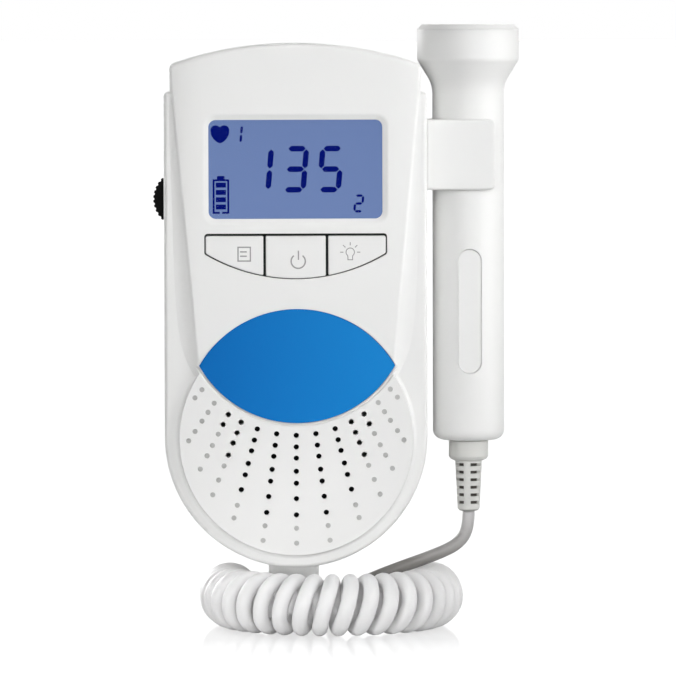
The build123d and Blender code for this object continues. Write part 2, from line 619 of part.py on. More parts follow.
# Housing screws
with BuildPart() as housing_screws:
    for x, z in HOUSING_SCREWS:
        turned(
            (
                (SCREW_TIP_Y, 0),
                (SCREW_TIP_Y + 1.2, 1.22),
                (SCREW_SEAT_Y + 0.05, 1.22),
                (SCREW_SEAT_Y + 0.05, 2.2),
                (SCREW_SEAT_Y + 1.4, 1.9),
                (SCREW_SEAT_Y + 1.4, 0),
            ),
            x,
            z,
        )
save(housing_screws.part, "housing_screws")

# Socket for the probe's plug, at the bottom of the housing
with BuildPart() as probe_socket:
    box_between((PLUG_X - 8.5, PLUG_X + 8.5), (-4.6, 4.6), (24.4, 32))
    box_between((PLUG_X - 4.7, PLUG_X + 4.7), (-2.2, 2.2), (24, 30.4), Mode.SUBTRACT)
save(probe_socket.part, "probe_socket")

# Clip on the side that holds the probe by its neck
with BuildPart() as probe_clip:
    arm_y = CLIP_SLOT_RADIUS + CLIP_ARM
    with BuildSketch(Plane.XY.offset(CLIP_LOW_Z)):
        with Locations(((HALF_WIDTH + 0.05 + CLIP_END_X) / 2, 0)):
            Rectangle(CLIP_END_X - HALF_WIDTH - 0.05, 2 * arm_y)
        with Locations((PROBE_X, 0)):
            Circle(CLIP_SLOT_RADIUS, mode=Mode.SUBTRACT)
        with Locations((PROBE_X + 10, 0)):
            Rectangle(20, 2 * CLIP_SLOT_RADIUS, mode=Mode.SUBTRACT)
    extrude(amount=CLIP_TOP_Z - CLIP_LOW_Z)
    fillet(probe_clip.edges().filter_by(Axis.Y).group_by(Axis.X)[-1], 1.5)
    fillet(probe_clip.faces().sort_by(Axis.Y)[0].edges(), 0.6)
    fillet(probe_clip.faces().sort_by(Axis.Y)[-1].edges(), 0.6)
    wall_x = HALF_WIDTH - WALL
    box_between((wall_x - 0.1, HALF_WIDTH + 0.1), (-4.0, 4.0), (118.0, 130.0))
    box_between((wall_x - 1.8, wall_x - 0.1), (-6.0, 6.0), (116.0, 132.0))
save(probe_clip.part, "probe_clip")

# Probe body: a straight grip that flares into the round head
with BuildPart() as probe_body:
    with BuildSketch(Plane.XZ):
        with BuildLine() as outer:
            Polyline(
                (PROBE_X, PROBE_LOW_Z),
                (PROBE_X + PROBE_RADIUS - 2.7, PROBE_LOW_Z),
            )
            RadiusArc(
                (PROBE_X + PROBE_RADIUS - 2.7, PROBE_LOW_Z), (PROBE_X + PROBE_RADIUS, PROBE_LOW_Z + 2.7), -2.7
            )
            flare_line = FilletPolyline(
                (PROBE_X + PROBE_RADIUS, PROBE_LOW_Z + 2.7),
                (PROBE_X + PROBE_RADIUS, NECK_TOP_Z + 1.2),
                (PROBE_X + HEAD_RADIUS, FLARE_TOP_Z - 0.4),
                (PROBE_X + HEAD_RADIUS, FACE_SEAM_Z - 0.05),
                radius=[8.0, 2.0],
            )
            Polyline(
                (PROBE_X + HEAD_RADIUS, FACE_SEAM_Z - 0.05), (PROBE_X, FACE_SEAM_Z - 0.05), (PROBE_X, PROBE_LOW_Z)
            )
        make_face()
    revolve(axis=Axis((PROBE_X, 0, 0), (0, 0, 1)))
    with BuildSketch(Plane.XZ):
        with BuildLine():
            Polyline(
                (PROBE_X, PROBE_LOW_Z + PROBE_WALL),
                (PROBE_X + PROBE_RADIUS - PROBE_WALL, PROBE_LOW_Z + PROBE_WALL),
                (PROBE_X + PROBE_RADIUS - PROBE_WALL, NECK_TOP_Z + 1.8),
                (PROBE_X + HEAD_RADIUS - PROBE_WALL, FLARE_TOP_Z + 0.4),
                (PROBE_X + HEAD_RADIUS - PROBE_WALL, FACE_SEAM_Z + 1),
                (PROBE_X, FACE_SEAM_Z + 1),
                close=True,
            )
        make_face()
    revolve(axis=Axis((PROBE_X, 0, 0), (0, 0, 1)), mode=Mode.SUBTRACT)
    with BuildSketch(Plane(origin=(PROBE_X, 0, PROBE_LOW_Z - 1))):
        Circle(3.6)
    extrude(amount=4, mode=Mode.SUBTRACT)
    # Long round-ended hollow in the front of the grip
    with BuildSketch(Plane.XZ.offset(PROBE_RADIUS + 1)):
        with Locations((PROBE_X, GRIP_HOLLOW_Z)):
            SlotOverall(GRIP_HOLLOW_LENGTH, GRIP_HOLLOW_WIDTH, rotation=90)
    extrude(amount=-1.5, mode=Mode.SUBTRACT)
save(probe_body.part, "probe_body")

# Probe head, from the sounding face inwards
with BuildPart() as probe_face:
    with BuildSketch(Plane(origin=(PROBE_X, 0, FACE_SEAM_Z))):
        Circle(HEAD_RADIUS)
    extrude(amount=HEAD_TOP_Z - FACE_SEAM_Z)
    chamfer(probe_face.faces().sort_by(Axis.Z)[-1].edges(), 1.25)
    with BuildSketch(Plane(origin=(PROBE_X, 0, FACE_SEAM_Z - 1.8))):
        Circle(HEAD_RADIUS - PROBE_WALL - 0.05)
    extrude(amount=1.8)
save(probe_face.part, "probe_face")

CRYSTAL_Z = FACE_SEAM_Z - 2.9
for crystal_name, side in (("transmit_crystal", -1), ("receive_crystal", 1)):
    with BuildPart() as crystal:
        with BuildSketch(Plane(origin=(PROBE_X, 0, CRYSTAL_Z))):
            Circle(9.5)
            with Locations((side * 5.3, 0)):
                Rectangle(10, 20, mode=Mode.INTERSECT)
        extrude(amount=1.05)
    save(crystal.part, crystal_name)

with BuildPart() as crystal_backing:
    with BuildSketch(Plane(origin=(PROBE_X, 0, CRYSTAL_Z - 3.6))):
        Circle(10.4)
        Rectangle(2.4, 9, mode=Mode.SUBTRACT)
    extrude(amount=3.5)
save(crystal_backing.part, "crystal_backing")

with BuildPart() as probe_board:
    box_between((PROBE_X - 5.8, PROBE_X + 5.8), (-0.8, 0.8), (66, 146))
save(probe_board.part, "probe_board")

with BuildPart() as probe_shield:
    box_between((PROBE_X - 4.8, PROBE_X + 4.8), (0.8, 4.4), (92, 126))
save(probe_shield.part, "probe_shield")

with BuildPart() as cable_clamp:
    box_between((PROBE_X - 5, PROBE_X + 5), (-3.4, 3.4), (56, 59.4))
    with BuildSketch(Plane(origin=(PROBE_X, 0, 55))):
        Circle(CORD_RADIUS + 0.05)
    extrude(amount=6, mode=Mode.SUBTRACT)
save(cable_clamp.part, "cable_clamp")

# Strain relief: collar and slotted boot in one soft moulding
with BuildPart() as probe_boot:
    with BuildSketch(Plane.XZ):
        with BuildLine():
            Polyline(
                (PROBE_X, BOOT_END_Z),
                (PROBE_X + BOOT_END_RADIUS - 0.5, BOOT_END_Z),
                (PROBE_X + BOOT_END_RADIUS, BOOT_END_Z + 0.5),
                (PROBE_X + BOOT_TOP_RADIUS, BOOT_TOP_Z),
                (PROBE_X + COLLAR_RADIUS - 1.4, BOOT_TOP_Z + 0.05),
                (PROBE_X + COLLAR_RADIUS - 0.45, BOOT_TOP_Z + 0.5),
                (PROBE_X + COLLAR_RADIUS, COLLAR_LOW_Z + 0.1),
                (PROBE_X + COLLAR_RADIUS, PROBE_LOW_Z - 0.4),
                (PROBE_X + COLLAR_RADIUS - 0.35, PROBE_LOW_Z - 0.05),
                (PROBE_X + 3.5, PROBE_LOW_Z - 0.05),
                (PROBE_X + 3.5, PROBE_LOW_Z + PROBE_WALL + 0.05),
                (PROBE_X + 5.0, PROBE_LOW_Z + PROBE_WALL + 0.05),
                (PROBE_X + 5.0, PROBE_LOW_Z + PROBE_WALL + 1.6),
                (PROBE_X, PROBE_LOW_Z + PROBE_WALL + 1.6),
                close=True,
            )
        make_face()
    revolve(axis=Axis((PROBE_X, 0, 0), (0, 0, 1)))
    for row in range(BOOT_ROWS):
        with BuildSketch(Plane(origin=(PROBE_X, 0, BOOT_TOP_Z - BOOT_FIRST_SLOT - row * BOOT_PITCH))):
            Circle(COLLAR_RADIUS - 0.5)
            Circle(CORD_RADIUS + 0.05, mode=Mode.SUBTRACT)
            Rectangle(BOOT_RIB, 12, rotation=BOOT_RIB_TURN, mode=Mode.SUBTRACT)
            Rectangle(12, BOOT_RIB, rotation=BOOT_RIB_TURN, mode=Mode.SUBTRACT)
        extrude(amount=-BOOT_SLOT, mode=Mode.SUBTRACT)
save(probe_boot.part, "probe_boot")

# Plug of the cord, right-angled, standing on the table under the unit
with BuildPart() as cord_plug:
    with BuildSketch(Plane.XY):
        with Locations((PLUG_X, 0)):
            RectangleRounded(2 * PLUG_HALF_WIDTH, 2 * PLUG_HALF_DEPTH, 1.2)
    extrude(amount=PLUG_TOP_Z)
save(cord_plug.part, "cord_plug")

with BuildPart() as plug_contacts:
    box_between((PLUG_X - 4.5, PLUG_X + 4.5), (-2.0, 2.0), (PLUG_TOP_Z, 30.2))
save(plug_contacts.part, "plug_contacts")

with BuildPart() as plug_boot:
    with BuildSketch(facing_y(PLUG_X, PLUG_BOOT_Z, PLUG_HALF_DEPTH)):
        Circle(2.9)
    with BuildSketch(facing_y(PLUG_X, PLUG_BOOT_Z, PLUG_BOOT_END_Y)):
        Circle(2.2)
    loft()
save(plug_boot.part, "plug_boot")

# Cord: the curly stretch as a tube of its outer diameter, half round with two short legs
with BuildPart() as curly_cord:
    with BuildSketch(Plane.XZ):
        with Locations((RING_X + RING_RADIUS, COIL_RADIUS)):
            Circle(COIL_RADIUS)
    revolve(axis=Axis((RING_X, 0, 0), (0, 0, 1)), revolution_arc=-180)
    for side in (-1, 1):
        with BuildSketch(facing_y(RING_X + side * RING_RADIUS, COIL_RADIUS)):
            Circle(COIL_RADIUS)
        extrude(amount=LEG_END_Y)
save(curly_cord.part, "curly_cord")


def cord_tube(points, name):
    """A round tube along straight runs, joined by arcs as large as the runs allow."""
    spots = [Vector(*point) for point in points]
    runs = [b - a for a, b in zip(spots, spots[1:])]
    radii = []
    for before, after in zip(runs, runs[1:]):
        half_turn = radians(before.get_angle(after)) / 2
        radii.append(0.45 * min(before.length, after.length) / tan(half_turn))
    with BuildPart() as tube:
        with BuildLine():
            path = FilletPolyline(*spots, radius=radii)
        with BuildSketch(Plane(origin=path @ 0, z_dir=path % 0)):
            Circle(CORD_RADIUS)
        sweep(path=path)
    expected = 3.14159265 * CORD_RADIUS**2 * path.length
    print(name, "length", round(path.length, 1), "volume ratio", round(tube.part.volume / expected, 4))
    print(name, "radii", [round(radius, 1) for radius in radii])
    save(tube.part, name)


# Lead from the probe: over the curly cord's right side, round behind it and into its right leg
LEAD_ROUTE = (
    (PROBE_X, 0, BOOT_END_Z),
    (PROBE_X, 0, 25.5),
    (42.6, -0.2, 21.4),
    (36.6, -1.0, 18.7),
    (27.6, -1.3, 15.4),
    (20.2, 2.6, 12.2),
    (14.0, 9.0, 8.8),
    (10.2, 16.6, 5.6),
    (9.9, 25.0, 3.0),
    (13.4, 32.4, 1.9),
    (20.6, 36.2, 1.75),
    (28.6, 34.3, 1.75),
    (34.0, 28.2, 1.75),
    (RING_X + RING_RADIUS, 20.0, CORD_LOW_Z),
    (RING_X + RING_RADIUS, LEG_END_Y, CORD_LOW_Z),
)
cord_tube(LEAD_ROUTE, "cord_lead")

# Tail from the plug: a loop on the table behind the unit, into the curly cord's left leg
TAIL_ROUTE = (
    (PLUG_X, PLUG_BOOT_END_Y, PLUG_BOOT_Z),
    (PLUG_X, 20.5, PLUG_BOOT_Z),
    (2.4, 29.8, 2.8),
    (1.1, 37.6, 1.8),
    (-4.8, 42.7, 1.75),
    (-12.7, 42.7, 1.75),
    (-18.6, 37.6, 1.75),
    (-19.9, 29.8, 1.75),
    (RING_X - RING_RADIUS, 20.5, CORD_LOW_Z),
    (RING_X - RING_RADIUS, LEG_END_Y, CORD_LOW_Z),
)
cord_tube(TAIL_ROUTE, "cord_tail")
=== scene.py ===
import math

import bmesh
import bpy
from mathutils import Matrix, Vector


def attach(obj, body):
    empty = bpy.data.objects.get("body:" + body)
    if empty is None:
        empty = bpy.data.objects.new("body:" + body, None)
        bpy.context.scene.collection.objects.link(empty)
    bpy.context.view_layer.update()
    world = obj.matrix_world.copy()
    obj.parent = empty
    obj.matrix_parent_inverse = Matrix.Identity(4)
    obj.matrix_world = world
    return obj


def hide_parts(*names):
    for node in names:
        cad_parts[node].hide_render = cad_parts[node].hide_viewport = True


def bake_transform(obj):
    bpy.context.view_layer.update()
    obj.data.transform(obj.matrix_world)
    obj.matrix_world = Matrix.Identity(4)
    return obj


# Handheld fetal doppler monitor with its probe in the side clip, standing on the plug of its curly cord.
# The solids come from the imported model; this script gives them their finish, and adds the cord's turns and
# the printed signs. Lengths are written in millimetres and turned into metres by MM.
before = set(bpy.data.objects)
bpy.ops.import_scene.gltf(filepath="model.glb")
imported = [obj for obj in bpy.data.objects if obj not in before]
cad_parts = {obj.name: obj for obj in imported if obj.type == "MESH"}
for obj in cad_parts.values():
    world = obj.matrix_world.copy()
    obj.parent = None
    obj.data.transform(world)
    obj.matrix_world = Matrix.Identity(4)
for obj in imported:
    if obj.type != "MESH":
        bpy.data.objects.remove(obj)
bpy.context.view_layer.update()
MM = 0.001

# ---------------------------------------------------------------- housing halves
# Front and rear shells and the battery cover: injection-moulded white ABS, about 2 mm thick, with a very
# fine spark-eroded texture on the outside. The halves are screwed together from the rear.


class Signal:
    """A number or colour on its way through a finish. Sums on it add Math nodes."""

    def __init__(self, finish, socket):
        self.finish = finish
        self.socket = socket

    def __add__(self, other):
        return self.finish.sum_with("ADD", self, other)

    def __radd__(self, other):
        return self.finish.sum_with("ADD", other, self)

    def __sub__(self, other):
        return self.finish.sum_with("SUBTRACT", self, other)

    def __rsub__(self, other):
        return self.finish.sum_with("SUBTRACT", other, self)

    def __mul__(self, other):
        return self.finish.sum_with("MULTIPLY", self, other)

    def __rmul__(self, other):
        return self.finish.sum_with("MULTIPLY", other, self)

    def __abs__(self):
        return self.finish.sum_with("ABSOLUTE", self)

    def held(self, low, high):
        """0 at low, 1 at high, and straight between."""
        settings = {"clamp": True}
        return self.finish.node("ShaderNodeMapRange", settings, {0: self, 1: low, 2: high, 3: 0.0, 4: 1.0})


class Nodes:
    """The nodes of one finish, or of the light all round."""

    def __init__(self, tree):
        self.tree = tree

    def node(self, kind, settings=None, inputs=None, output=0):
        """One node: its settings first, then the values or links of its sockets."""
        made = self.tree.nodes.new(kind)
        for key, value in (settings or {}).items():
            setattr(made, key, value)
        for key, value in (inputs or {}).items():
            if isinstance(value, Signal):
                self.tree.links.new(value.socket, made.inputs[key])
            else:
                made.inputs[key].default_value = value
        return Signal(self, made.outputs[output])

    def sum_with(self, operation, first, second=0.0):
        return self.node("ShaderNodeMath", {"operation": operation}, {0: first, 1: second})


class Finish(Nodes):
    """A surface finish: a material with one Principled shader and the nodes that vary it."""

    def __init__(self, name, colour, roughness, **constants):
        self.material = bpy.data.materials.new(name)
        self.material.use_nodes = True
        super().__init__(self.material.node_tree)
        self.shader = self.tree.nodes["Principled BSDF"]
        self.shader.inputs["Base Color"].default_value = (*colour, 1.0)
        self.shader.inputs["Roughness"].default_value = roughness
        for words, value in constants.items():
            self.shader.inputs[words.replace("_", " ")].default_value = value

    def feed(self, socket, signal):
        self.tree.links.new(signal.socket, self.shader.inputs[socket])

    def place(self, axis=None):
        """Where a point of the object is, in metres: all of it, or one axis of it."""
        point = self.node("ShaderNodeTexCoord", output="Object")
        if axis is None:
            return point
        return self.node("ShaderNodeSeparateXYZ", None, {0: point}, "XYZ".index(axis))

    def past(self, axis, low, high):
        """0 before low and 1 past high, both in millimetres along an axis."""
        return self.place(axis).held(low * MM, high * MM)

    def away(self, centre, axes):
        """How far a point is from a centre in millimetres, as metres along the named axes only."""
        kept = [float(axis in axes) for axis in "XYZ"]
        shift = [-part * MM * share for part, share in zip(centre, kept)]
        inputs = {0: self.place(), 1: kept, 2: shift}
        offset = self.node("ShaderNodeVectorMath", {"operation": "MULTIPLY_ADD"}, inputs)
        return self.node("ShaderNodeVectorMath", {"operation": "LENGTH"}, {0: offset}, "Value")

    def cloud(self, size, detail=2.0, stretch=None):
        """Soft noise from 0 to 1 whose lumps are about this many millimetres across."""
        point = self.place()
        if stretch:
            point = self.node("ShaderNodeVectorMath", {"operation": "MULTIPLY"}, {0: point, 1: stretch})
        inputs = {"Vector": point, "Scale": 1.0 / (size * MM), "Detail": detail}
        return self.node("ShaderNodeTexNoise", None, inputs)

    def between(self, factor, first, second):
        """A colour that goes from the first to the second as the factor goes from 0 to 1."""
        ends = [end if isinstance(end, Signal) else (*end, 1.0) for end in (first, second)]
        return self.node("ShaderNodeMix", {"data_type": "RGBA"}, {0: factor, 6: ends[0], 7: ends[1]}, 2)

    def grain(self, height, depth):
        """Relief of the surface, with its depth in millimetres."""
        bump = self.node("ShaderNodeBump", None, {"Height": height, "Strength": 1.0, "Distance": depth * MM})
        self.feed("Normal", bump)

    def on(self, *names):
        """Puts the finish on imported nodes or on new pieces."""
        for name in names:
            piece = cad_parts[name] if isinstance(name, str) else name
            piece.data.materials.clear()
            piece.data.materials.append(self.material)


CLOUD_SIZE, GLOSS_CLOUD_SIZE = 9.0, 2.5
GLOSS_SWING = 0.03


def moulded(name, colour, roughness, grain_size=None, grain_depth=None, shade=0.985, **constants):
    """Moulded plastic or rubber: faint clouding of its colour and gloss, and a fine texture.

    With no shade its colour is left to be fed afterwards, and with no grain size its relief.
    """
    finish = Finish(name, colour, roughness, **constants)
    if shade:
        darker = [shade * part for part in colour]
        finish.feed("Base Color", finish.between(finish.cloud(CLOUD_SIZE), darker, colour))
    finish.feed("Roughness", roughness - GLOSS_SWING + 2 * GLOSS_SWING * finish.cloud(GLOSS_CLOUD_SIZE))
    if grain_size:
        finish.grain(finish.cloud(grain_size), grain_depth)
    return finish


HOUSING_WHITE = (0.80, 0.80, 0.79)
HOUSING_ROUGHNESS = 0.42
HOUSING_GRAIN = 0.30
shell_white = moulded("shell_white", HOUSING_WHITE, HOUSING_ROUGHNESS, HOUSING_GRAIN, 0.004)
shell_white.on("rear_shell", "battery_cover")

# The dimples and sound holes in the disc of the front shell, and its parting line against the rear shell, are
# greyed with painted shade.
# The deep narrow opening of the keys is painted nearly black inside, as painted shade.
DIMPLE_SHADE_GREY = (0.54, 0.54, 0.53)
GAP_SHADE_BLACK = (0.03, 0.03, 0.03)
DISC_CENTRE = (0, 0, 50.3)
DISC_RADIUS = 29.0
KEYS_HALF_WIDTH = 24.2
KEYS_LOW, KEYS_TOP = 90.5, 104.3
KEY_GAP_Y = (-17.4, -17.2)
front_white = moulded("front_white", HOUSING_WHITE, HOUSING_ROUGHNESS, shade=None)
front_white.on("front_shell")
# Painted shade: grey in the dimples and holes, and along the parting line
on_disc = 1 - front_white.away(DISC_CENTRE, "XZ").held(DISC_RADIUS * MM, (DISC_RADIUS + 0.5) * MM)
in_dimples = on_disc * front_white.past("Y", -17.4, -17.0)
at_parting = front_white.past("Y", -0.28, -0.16)
painted_shade = front_white.sum_with("MAXIMUM", in_dimples, at_parting)
shaded_white = front_white.between(painted_shade, HOUSING_WHITE, DIMPLE_SHADE_GREY)
# Painted shade: the walls of the key opening below the panel's face are coloured nearly black
beside_keys = abs(front_white.place("X")).held(KEYS_HALF_WIDTH * MM, (KEYS_HALF_WIDTH + 0.3) * MM)
above_keys = front_white.past("Z", KEYS_TOP - 0.3, KEYS_TOP)
in_key_gap = (1 - beside_keys) * front_white.past("Z", KEYS_LOW, KEYS_LOW + 0.3) * (1 - above_keys)
in_key_gap = in_key_gap * front_white.past("Y", *KEY_GAP_Y)
front_white.feed("Base Color", front_white.between(in_key_gap, shaded_white, GAP_SHADE_BLACK))

# A fine groove runs along the lower edge of the label's pocket
ARC_CENTRE = (0.3, 0, 83.475)
GROOVE_DEPTH = 0.28
from_arc = front_white.away(ARC_CENTRE, "XZ")
groove = from_arc.held(29.25 * MM, 29.55 * MM) - from_arc.held(29.70 * MM, 30.05 * MM)
groove = groove * (1 - front_white.past("Z", 68.0, 69.2))
front_white.grain(0.01 * front_white.cloud(HOUSING_GRAIN) - groove, GROOVE_DEPTH)

# ---------------------------------------------------------------- display
# Backlit liquid crystal display: a clear acrylic window in the panel, the glass behind it with its dark
# segments, then the light guide, held to the board by a black frame.


def outline_prisms(name, outlines, back_y, front_y):
    """Thin flat shapes that stand between two y planes, from closed (x, z) outlines."""
    shape = bmesh.new()
    for outline in outlines:
        back = [shape.verts.new((x * MM, back_y * MM, z * MM)) for x, z in outline]
        front = [shape.verts.new((x * MM, front_y * MM, z * MM)) for x, z in outline]
        shape.faces.new(front)
        for here in range(len(outline)):
            after = (here + 1) % len(outline)
            shape.faces.new((back[here], back[after], front[after], front[here]))
    bmesh.ops.recalc_face_normals(shape, faces=shape.faces[:])
    mesh = bpy.data.meshes.new(name)
    shape.to_mesh(mesh)
    shape.free()
    piece = bpy.data.objects.new(name, mesh)
    bpy.context.scene.collection.objects.link(piece)
    return piece


def segment(start, end, width):
    """One display segment: a bar with pointed ends."""
    along = (Vector(end) - Vector(start)).normalized()
    aside = Vector((-along.y, along.x)) * width / 2
    point = along * width / 2
    start, end = Vector(start), Vector(end)
    one_side = (start + point + aside, end - point + aside)
    other_side = (end - point - aside, start + point - aside)
    return [tuple(corner) for corner in (start, *one_side, end, *other_side)]


def digit(bars, centre, width, height, thickness, gap=0.17, lean=0.085):
    """A seven-segment digit; bars names its lit segments a to g, clockwise from the top and then across."""
    x, z = centre
    half = width / 2
    tall = height / 2
    ends = {
        "a": ((-half, tall), (half, tall)),
        "b": ((half, tall), (half, 0)),
        "c": ((half, 0), (half, -tall)),
        "d": ((-half, -tall), (half, -tall)),
        "e": ((-half, 0), (-half, -tall)),
        "f": ((-half, tall), (-half, 0)),
        "g": ((-half, 0), (half, 0)),
    }
    outlines = []
    for bar in bars:
        start, end = (Vector(point) for point in ends[bar])
        along = (end - start).normalized() * gap
        shape = segment(start + along, end - along, thickness)
        outlines.append([(x + px + lean * pz, z + pz) for px, pz in shape])
    return outlines


def rectangle(left, right, low, high):
    return [(left, low), (right, low), (right, high), (left, high)]


def heart(centre, width, height):
    """A full heart: two round lobes over a pair of long arcs that meet in its tip."""
    flank = ((-0.41, 0.35), 1.41, range(-73, 0, 8))
    lobe = ((0.45, 0.35), 0.55, range(0, 146, 12))
    right = []
    for (x, z), radius, degrees in (flank, lobe):
        for turn in map(math.radians, degrees):
            right.append((x + radius * math.cos(turn), z + radius * math.sin(turn)))
    outline = [(0.0, -1.0), *right, (0.0, 0.67), *((-x, z) for x, z in reversed(right))]
    return [(centre[0] + x * width / 2, centre[1] + (z + 0.05) * height / 1.9) for x, z in outline]


# The rate in large digits, the channel and the mode in small ones, and the heart that beats with it
DIGIT_WIDTH, DIGIT_HEIGHT, DIGIT_BAR = 4.85, 10.6, 1.44
DIGIT_Z = 119.95
SMALL_BAR = 0.62
signs = []
for bars, x in (("bc", -9.05), ("abcdg", 0.0), ("acdfg", 9.08)):
    signs += digit(bars, (x, DIGIT_Z), DIGIT_WIDTH, DIGIT_HEIGHT, DIGIT_BAR)
signs += digit("bc", (-15.05, 129.05), 2.2, 4.4, SMALL_BAR, gap=0.14)
signs += digit("abdeg", (16.35, 111.05), 1.95, 4.05, SMALL_BAR, gap=0.1)
signs.append(heart((-19.45, 129.0), 4.9, 4.65))

# The battery sign: a case with a short break in its foot, a cap, and four bars
CASE_LEFT, CASE_RIGHT, CASE_LOW, CASE_TOP, CASE_LINE = -21.38, -17.1, 108.5, 117.4, 0.5
BREAK_LEFT, BREAK_RIGHT = -19.55, -18.95
CAP_LEFT, CAP_RIGHT, CAP_HEIGHT = -20.25, -18.3, 0.85
BAR_LEFT, BAR_RIGHT, BAR_HEIGHT = -20.55, -17.95, 1.27
LOWEST_BAR, BAR_STEP = 109.62, 1.88
inner_left, inner_right = CASE_LEFT + CASE_LINE, CASE_RIGHT - CASE_LINE
signs.append(rectangle(CASE_LEFT, inner_left, CASE_LOW, CASE_TOP))
signs.append(rectangle(inner_right, CASE_RIGHT, CASE_LOW, CASE_TOP))
signs.append(rectangle(inner_left, inner_right, CASE_TOP - CASE_LINE, CASE_TOP))
signs.append(rectangle(inner_left, BREAK_LEFT, CASE_LOW, CASE_LOW + CASE_LINE))
signs.append(rectangle(BREAK_RIGHT, inner_right, CASE_LOW, CASE_LOW + CASE_LINE))
signs.append(rectangle(CAP_LEFT, CAP_RIGHT, CASE_TOP, CASE_TOP + CAP_HEIGHT))
for bar in range(4):
    low = LOWEST_BAR + BAR_STEP * bar
    signs.append(rectangle(BAR_LEFT, BAR_RIGHT, low, low + BAR_HEIGHT))
GLASS_FRONT_Y = -15.5
display_signs = outline_prisms("display_signs", signs, GLASS_FRONT_Y, GLASS_FRONT_Y - 0.06)
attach(display_signs, "main_unit")

segment_navy = Finish("segment_navy", (0.0, 0.0, 0.01), 0.5, Specular_IOR_Level=0.0, Emission_Strength=1.0)
navy = segment_navy.between(segment_navy.cloud(3.0), (0.0, 0.004, 0.135), (0.001, 0.006, 0.155))
segment_navy.feed("Emission Color", navy)
segment_navy.on(display_signs)

lit_glass = Finish("lit_glass", (0.01, 0.015, 0.03), 0.5, Specular_IOR_Level=0.05, Emission_Strength=1.0)
glow = lit_glass.between(lit_glass.past("Z", 106, 134), (0.144, 0.215, 0.432), (0.134, 0.202, 0.410))
lit_glass.feed("Emission Color", glow)
lit_glass.feed("Roughness", 0.25 + 0.08 * lit_glass.cloud(1.0))
lit_glass.on("lcd_glass")

window_clear = Finish("window_clear", (0.03, 0.04, 0.06), 0.04, IOR=1.46, Alpha=0.02)
window_clear.feed("Roughness", 0.02 + 0.03 * window_clear.cloud(4.0))
window_clear.on("lcd_window")

diffuser = moulded("diffuser", (0.82, 0.84, 0.86), 0.5, 0.5, 0.003)
diffuser.on("lcd_backlight")

black_plastic = moulded("black_plastic", (0.012, 0.012, 0.013), 0.45, 0.35, 0.004, shade=0.8)
black_plastic.on("lcd_frame")

# ---------------------------------------------------------------- buttons
# Three keys in one opening of the panel, moulded in white plastic with rounded edges. Each is pressed
# about half a millimetre, and carries a grey printed sign: a list, the power sign and a lamp.
# Below the panel's face their sides are painted as dark as the opening, with painted shade.
KEY_WHITE = (0.785, 0.785, 0.775)
button_white = moulded("button_white", KEY_WHITE, 0.36, 0.5, 0.002, shade=None)
# Painted shade: the keys' sides below the panel's face are coloured nearly black
in_gap = button_white.past("Y", *KEY_GAP_Y)
button_white.feed("Base Color", button_white.between(in_gap, KEY_WHITE, GAP_SHADE_BLACK))
button_white.on("mode_button", "power_button", "backlight_button")


def stroke(points, width, closed=False):
    """A printed line of even width, as one four-sided outline for each of its straight bits."""
    spots = [Vector(point) for point in points]
    count = len(spots)
    rims = []
    for here in range(count):
        before = spots[here - 1] if here or closed else spots[here]
        after = spots[(here + 1) % count] if here < count - 1 or closed else spots[here]
        into = (spots[here] - before if spots[here] != before else after - spots[here]).normalized()
        out = (after - spots[here]).normalized() if spots[here] != after else into
        along = (into + out).normalized()
        reach = width / 2 / max(along.dot(into), 0.3)
        aside = Vector((-along.y, along.x)) * reach
        rims.append((spots[here] + aside, spots[here] - aside))
    pairs = list(zip(rims, rims[1:] + rims[:1]))
    if not closed:
        pairs.pop()
    return [[tuple(a[0]), tuple(b[0]), tuple(b[1]), tuple(a[1])] for a, b in pairs]


def arc_points(centre, radius, start, end, steps):
    """Points along a circle between two angles in degrees, measured from straight up."""
    turns = [math.radians(start + (end - start) * step / steps) for step in range(steps + 1)]
    return [(centre[0] + radius * math.sin(turn), centre[1] + radius * math.cos(turn)) for turn in turns]


LINE, FINE_LINE = 0.34, 0.23
LIST_LEFT, LIST_RIGHT, LIST_LOW, LIST_TOP = -14.9, -11.72, 96.35, 99.9
ROW_LEFT, ROW_RIGHT = -14.4, -12.65
list_sign = stroke(rectangle(LIST_LEFT, LIST_RIGHT, LIST_LOW, LIST_TOP), LINE, closed=True)
for row in (98.72, 97.6):
    list_sign += stroke([(ROW_LEFT, row), (ROW_RIGHT, row)], LINE)

power_sign = stroke(arc_points((0.62, 96.25), 1.83, 38, 322, 30), LINE + 0.03)
power_sign += stroke([(0.68, 99.0), (0.68, 96.6)], LINE)

BULB_CENTRE, BULB_RADIUS = (14.05, 98.55), 1.08
CAP_REACH, CAP_LOW, CAP_TOP = 0.6, 96.6, 97.3
RAY_FROM, RAY_TO = 1.75, 2.6
cap_left, cap_right = BULB_CENTRE[0] - CAP_REACH, BULB_CENTRE[0] + CAP_REACH
bulb = arc_points(BULB_CENTRE, BULB_RADIUS, -142, 142, 24)
lamp_outline = [(cap_left, CAP_LOW), (cap_left, CAP_TOP), *bulb, (cap_right, CAP_TOP), (cap_right, CAP_LOW)]
lamp_sign = stroke(lamp_outline, FINE_LINE, closed=True)
for ray in (-90, -45, 0, 45, 90):
    inner, outer = (arc_points(BULB_CENTRE, reach, ray, ray, 1)[0] for reach in (RAY_FROM, RAY_TO))
    lamp_sign += stroke([inner, outer], FINE_LINE)

sign_grey = moulded("sign_grey", (0.30, 0.30, 0.295), 0.45, 0.5, 0.001, shade=0.93)
BUTTON_FRONT_Y = -17.75
for button, outlines in (("mode", list_sign), ("power", power_sign), ("backlight", lamp_sign)):
    printed = outline_prisms(button + "_sign", outlines, BUTTON_FRONT_Y + 0.02, BUTTON_FRONT_Y - 0.02)
    sign_grey.on(printed)
    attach(printed, button + "_button")

